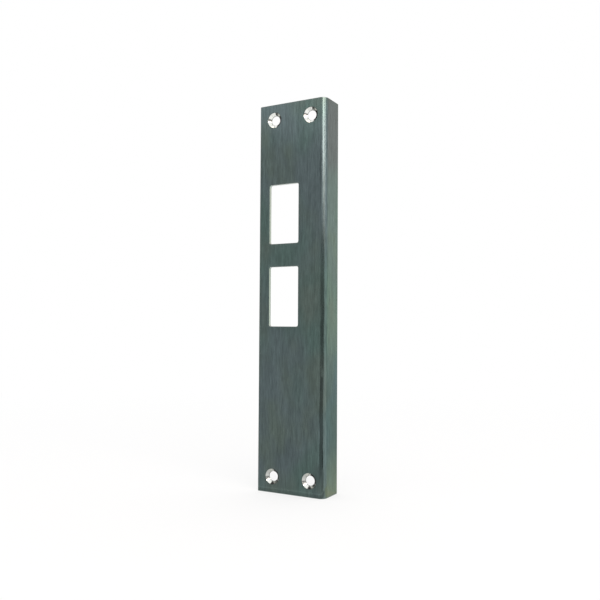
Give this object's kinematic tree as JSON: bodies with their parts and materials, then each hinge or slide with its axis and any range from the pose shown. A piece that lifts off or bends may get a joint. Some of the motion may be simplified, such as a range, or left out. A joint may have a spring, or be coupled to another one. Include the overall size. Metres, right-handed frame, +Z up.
{
  "type": "door strike plate",
  "caption": "Folded steel strike plate: a face with openings for latch and bolt and countersunk screw holes, and a narrow leg that wraps the corner of the door frame.",
  "frame": {"origin": "centre of the four screw holes, on the back of the face, where the plate seats on the door frame", "axes": "+Z up along the plate's length, +X along the face from its free edge towards the leg, +Y from the face back into the door frame"},
  "size_m": [0.045, 0.017, 0.235],
  "materials": {
    "brushed_stainless": "satin, brushed along the plate's length, countersinks bright from the cutter"
  },
  "bodies": {
    "root": {"strike_plate": "brushed_stainless"}
  },
  "joints": []
}
